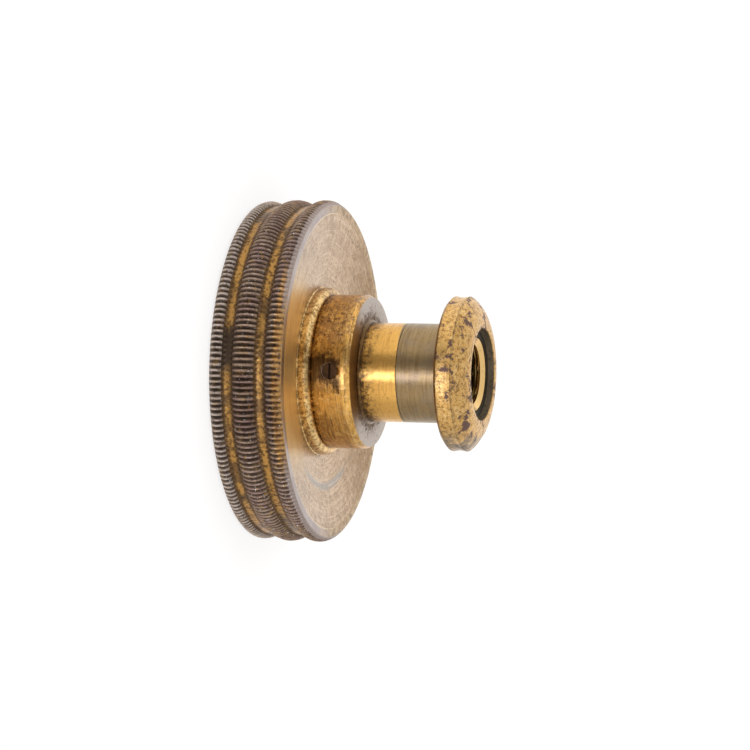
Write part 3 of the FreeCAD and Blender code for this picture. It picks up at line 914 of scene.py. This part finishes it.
def stem():
    """The stem: tenon, bright neck, journal and nose, with its stepped bore."""
    root = (NECK_RADIUS + NECK_ROOT_FILLET, BOSS_TOP)
    neck_foot = (NECK_RADIUS, BOSS_TOP + NECK_ROOT_FILLET)
    tenon = [(0, SOCKET_FLOOR), (SOCKET_RADIUS, SOCKET_FLOOR), (SOCKET_RADIUS, BOSS_TOP)]
    outline = [
        ([*tenon, root], 0, 0.6),
        (arc(root, neck_foot, -quarter_bulge(NECK_ROOT_FILLET), 6), 0, 1.0),
        (run(neck_foot, (NECK_RADIUS, NECK_TOP - 0.06), 10), 0, 0.0),
        ([(NECK_RADIUS - 0.02, NECK_TOP)], 0, 0.0),
        ([(JOURNAL_RADIUS, NECK_TOP), (JOURNAL_RADIUS, COLLAR_BACK)], 0, 1.0),
        ([(NOSE_RADIUS, COLLAR_BACK), (NOSE_RADIUS, NOSE_TOP), (BUSH_RADIUS, NOSE_TOP)], 0, 1.0),
        ([(BUSH_RADIUS, BUSH_SEAT_FLOOR), (SCREW_CLEARANCE_RADIUS, BUSH_SEAT_FLOOR)], 0, 1.0),
        ([(SCREW_CLEARANCE_RADIUS, SCREW_CLEARANCE_FLOOR), (0, SCREW_CLEARANCE_FLOOR)], 0, 1.0),
    ]
    settle(turned("stem_brass", outline, [neck_material()]), "knob", "stem")


def neck_sleeve():
    """The running sleeve, with a small bevel at each end."""
    bore = JOURNAL_RADIUS + SLEEVE_CLEARANCE
    bottom = NECK_TOP + SLEEVE_END_PLAY
    top = COLLAR_BACK - SLEEVE_END_PLAY
    bevel = 0.03
    outline = [
        ([(bore, bottom), (NECK_RADIUS - bevel, bottom)], 0, 0.2),
        ([(NECK_RADIUS, bottom + bevel)], 0, 0.0),
        (run((NECK_RADIUS, bottom + bevel), (NECK_RADIUS, top - bevel), 10), 0, 0.0),
        ([(NECK_RADIUS - bevel, top), (bore, top)], 0, 0.8),
    ]
    piece = turned("neck_sleeve_metal", outline, [sleeve_material()])
    settle(piece, "sleeve", "neck_sleeve")


def collar_wear(angle, radius, height):
    """Knocks on the collar's rim: by how much they take the radius in."""
    if radius < 6.5:
        return 0
    around = Vector((math.cos(angle) * 4, math.sin(angle) * 4, height * 0.6))
    dent = max(0, noise.noise(around) - 0.15) + 0.4 * max(0, noise.noise(around * 4) - 0.2)
    return -COLLAR_DENTS * dent


def end_collar():
    """The end collar: hollow rim, domed face, flat lip and stepped mouth."""
    rim_foot = (COLLAR_RADIUS, COLLAR_BACK + COLLAR_BACK_BEVEL)
    rim_head = (COLLAR_RADIUS, COLLAR_RIM_TOP)
    face_foot = (COLLAR_RADIUS - 0.05, COLLAR_RIM_TOP + 0.04)
    lip_start = (COLLAR_LIP_RADIUS, COLLAR_TOP)
    lip_stop = (MOUTH_RADIUS + MOUTH_EDGE, COLLAR_TOP)
    floor = COLLAR_TOP - MOUTH_DEPTH
    outline = [
        ([(NOSE_RADIUS, COLLAR_BACK), (5.2, COLLAR_BACK)], 0, 0.8),
        (run((5.2, COLLAR_BACK), (COLLAR_RADIUS - COLLAR_BACK_BEVEL, COLLAR_BACK), 5), 0, 0.2),
        (run((COLLAR_RADIUS - COLLAR_BACK_BEVEL, COLLAR_BACK), rim_foot, 3), 0, 0.45),
        (arc(rim_foot, rim_head, -COLLAR_RIM_HOLLOW, 9), 0, 0.0),
        ([face_foot], 0, 0.5),
        (arc(face_foot, lip_start, COLLAR_FACE_BULGE, 12), 0, 0.0),
        (run(lip_start, lip_stop, 3), 0, 0.0),
        ([(MOUTH_RADIUS, COLLAR_TOP - MOUTH_EDGE)], 0, 0.0),
        (run((MOUTH_RADIUS, COLLAR_TOP - MOUTH_EDGE), (MOUTH_RADIUS, floor), 5), 1, 0.0),
        (run((MOUTH_RADIUS, floor), (LIP_RADIUS, floor), 3), 1, 1.0),
        ([(LIP_RADIUS, floor - LIP_THICKNESS), (NOSE_RADIUS, floor - LIP_THICKNESS)], 1, 1.0),
    ]
    materials = [collar_material(), mouth_material()]
    piece = turned("end_collar_brass", outline, materials, wear=collar_wear)
    settle(piece, "knob", "end_collar")


def thread_bush():
    """The thread bush: a conical lead-in, then a right-hand thread cut into its bore."""
    lathe = Lathe("thread_bush_brass")
    angles = even_angles(BUSH_SEGMENTS)
    thread_floor = BUSH_SEAT_FLOOR + 0.6
    thread_top = BUSH_TOP - BUSH_LEAD_IN

    def threaded(angle, height):
        fade_out = (thread_top - height) / (0.5 * THREAD_PITCH)
        fade_in = (height - thread_floor) / THREAD_PITCH
        turn = (height / THREAD_PITCH - angle / math.tau) % 1
        depth = THREAD_DEPTH * max(0, 1 - abs(turn - 0.5) * 2.6) * max(0, min(1, fade_out, fade_in))
        # Painted shadow: the bore darkens with depth below the lead-in, and more in the thread's
        # grooves.
        sunk = min(1, (thread_top - height) / 0.55)
        return angle, BUSH_BORE_RADIUS + depth, height, max(sunk, depth / THREAD_DEPTH * 0.8)

    body = (
        (BUSH_BORE_RADIUS, BUSH_SEAT_FLOOR, 1.0),
        (BUSH_RADIUS, BUSH_SEAT_FLOOR, 1.0),
        (BUSH_RADIUS, BUSH_TOP - 0.05, 1.0),
        (BUSH_RADIUS - 0.03, BUSH_TOP, 0.2),
        (BUSH_BORE_RADIUS + 0.5, BUSH_TOP, 0.0),
        (BUSH_BORE_RADIUS + 0.25, BUSH_TOP - BUSH_LEAD_IN / 2, 0.0),
    )
    for place in body:
        lathe.ring([(angle, *place) for angle in angles])
    for step in range(THREAD_RINGS + 1):
        height = thread_top + (thread_floor - thread_top) * step / THREAD_RINGS
        lathe.ring([threaded(angle, height) for angle in angles])
    settle(lathe.build([bush_material()]), "knob", "thread_bush")


def grub_screw():
    """The grub screw keeps its CAD shape and gets its own finish."""
    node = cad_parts["grub_screw"]
    node.data.materials.clear()
    node.data.materials.append(screw_material())


# ---------------------------------------------------------------- stage

# The camera: its rise over the wheel's plane and its roll, then lengths in millimetres.
VIEW_RISE = math.radians(16.75)
VIEW_ROLL = math.radians(1.22)
VIEW_DISTANCE = 304.0
VIEW_SHIFT_RIGHT = 8.03
VIEW_SHIFT_UP = -0.46
AIM_HEIGHT = 3.3
LENS = 146.0
SENSOR = 36.0
FLOOR_RADIUS = 36.0
FLOOR_SIDES = 96

# Brightness of the room near the horizon, by direction: degrees from the -Y side towards -X.
ROOM = (
    (-180, 1.05), (-160, 1.05), (-140, 0.75), (-100, 0.66), (-72, 0.72), (-58, 1.04), (-33, 1.04),
    (-20, 0.75), (4, 0.72), (13, 0.34), (34, 0.3), (46, 0.95), (70, 1.05), (180, 1.05),
)
ROOM_TOP = 0.72
# Between these rises above the horizon, in degrees, the brightness turns into ROOM_TOP.
ROOM_TOP_RISES = (18, 60)

# The strip lamp: where it stands, its width and height in metres, and its power in watts.
STRIP_AZIMUTH = -9
STRIP_ELEVATION = -9
STRIP_DISTANCE = 0.6
STRIP_SIZE = (0.04, 0.34)
STRIP_POWER = 0.66
STRIP_TONE = (1.0, 1.06, 1.35)
STRIP_AIM = (0, 0, 0.012)


def add_camera():
    """The view from the -Y side, a little above the wheel's plane, with the axis across it."""
    towards = Vector((0, -math.cos(VIEW_RISE), math.sin(VIEW_RISE)))
    level = Vector((1, 0, 0))
    along = Vector((0, math.sin(VIEW_RISE), math.cos(VIEW_RISE)))
    right = along * math.cos(VIEW_ROLL) - level * math.sin(VIEW_ROLL)
    up = -level * math.cos(VIEW_ROLL) - along * math.sin(VIEW_ROLL)
    place = Vector((0, 0, AIM_HEIGHT)) + right * VIEW_SHIFT_RIGHT + up * VIEW_SHIFT_UP
    place += towards * VIEW_DISTANCE
    data = bpy.data.cameras.new("camera")
    data.lens = LENS
    data.sensor_width = SENSOR
    data.clip_start = 0.01
    data.clip_end = 20
    camera = bpy.data.objects.new("camera", data)
    turn = Matrix((right, up, towards)).transposed().to_4x4()
    camera.matrix_world = Matrix.Translation(place * MM) @ turn
    bpy.context.scene.collection.objects.link(camera)
    bpy.context.scene.camera = camera


def add_floor():
    """A plain white floor that the knob stands on; it fades out into the white room."""
    mesh = bpy.data.meshes.new("floor")
    reach = FLOOR_RADIUS * MM
    corners = [(reach * math.cos(a), reach * math.sin(a), 0) for a in even_angles(FLOOR_SIDES)]
    mesh.from_pydata(corners, [], [tuple(range(FLOOR_SIDES))])
    floor = bpy.data.objects.new("floor", mesh)
    bpy.context.scene.collection.objects.link(floor)
    paint = Paint("floor_white")
    place = paint.position()
    grain = paint.mix(paint.noise(place, 0.05, 2.0), (0.40, 0.40, 0.40), (0.43, 0.43, 0.43))
    paint.feed(paint.shader.inputs["Base Color"], grain)
    paint.shader.inputs["Roughness"].default_value = 0.9
    paint.shader.inputs["Specular IOR Level"].default_value = 0.0
    paint.shader.inputs["Emission Color"].default_value = (1.0, 1.0, 1.0, 1.0)
    paint.shader.inputs["Emission Strength"].default_value = 0.75
    fade = paint.step(paint.vector("LENGTH", place), FLOOR_RADIUS * 0.98, FLOOR_RADIUS * 0.7)
    paint.feed(paint.shader.inputs["Alpha"], fade)
    mesh.materials.append(paint.material)


def add_strip_lamp():
    """A narrow upright lamp; azimuth 0 is the -Y side and +90 the -X side."""
    turn = math.radians(STRIP_AZIMUTH)
    rise = math.radians(STRIP_ELEVATION)
    level = math.cos(rise)
    direction = Vector((-math.sin(turn) * level, -math.cos(turn) * level, math.sin(rise)))
    data = bpy.data.lights.new("front_strip", "AREA")
    data.shape = "RECTANGLE"
    data.size, data.size_y = STRIP_SIZE
    data.energy = STRIP_POWER
    data.color = STRIP_TONE
    lamp = bpy.data.objects.new("front_strip", data)
    lamp.location = Vector(STRIP_AIM) + direction * STRIP_DISTANCE
    lamp.rotation_euler = direction.to_track_quat("Z", "Y").to_euler()
    bpy.context.scene.collection.objects.link(lamp)


def add_world():
    """A bright room that changes round the horizon, with one dim sector beside the camera."""
    world = bpy.data.worlds.new("studio")
    bpy.context.scene.world = world
    world.use_nodes = True
    nodes = Nodes(world.node_tree)
    coordinates = nodes.tree.nodes.new("ShaderNodeTexCoord")
    x, y, z = nodes.separate(coordinates.outputs["Generated"])
    azimuth = nodes.math("ARCTAN2", nodes.times(x, -1.0), nodes.times(y, -1.0))
    turn = nodes.math("ADD", nodes.math("DIVIDE", azimuth, math.tau), 0.5)
    ramp = nodes.tree.nodes.new("ShaderNodeFloatCurve")
    nodes.link(turn, ramp.inputs["Value"])
    curve = ramp.mapping.curves[0]
    top = max(level for _, level in ROOM)
    points = [(degrees / 360 + 0.5, level / top) for degrees, level in ROOM]
    curve.points[0].location = points[0]
    curve.points[1].location = points[-1]
    for point in points[1:-1]:
        curve.points.new(*point)
    ramp.mapping.update()
    horizon = nodes.times(ramp.outputs[0], top)
    start, stop = (math.sin(math.radians(rise)) for rise in ROOM_TOP_RISES)
    share = nodes.step(z, start, stop)
    change = nodes.times(nodes.math("SUBTRACT", ROOM_TOP, horizon), share)
    background = nodes.tree.nodes.new("ShaderNodeBackground")
    background.inputs["Color"].default_value = (1.0, 0.985, 0.965, 1.0)
    nodes.link(nodes.math("ADD", horizon, change), background.inputs["Strength"])
    output = nodes.tree.nodes.new("ShaderNodeOutputWorld")
    nodes.link(background.outputs[0], output.inputs["Surface"])


bpy.context.scene.view_settings.view_transform = "Standard"
add_camera()
add_floor()
add_world()
add_strip_lamp()
milled_head()
stem()
neck_sleeve()
end_collar()
thread_bush()
grub_screw()
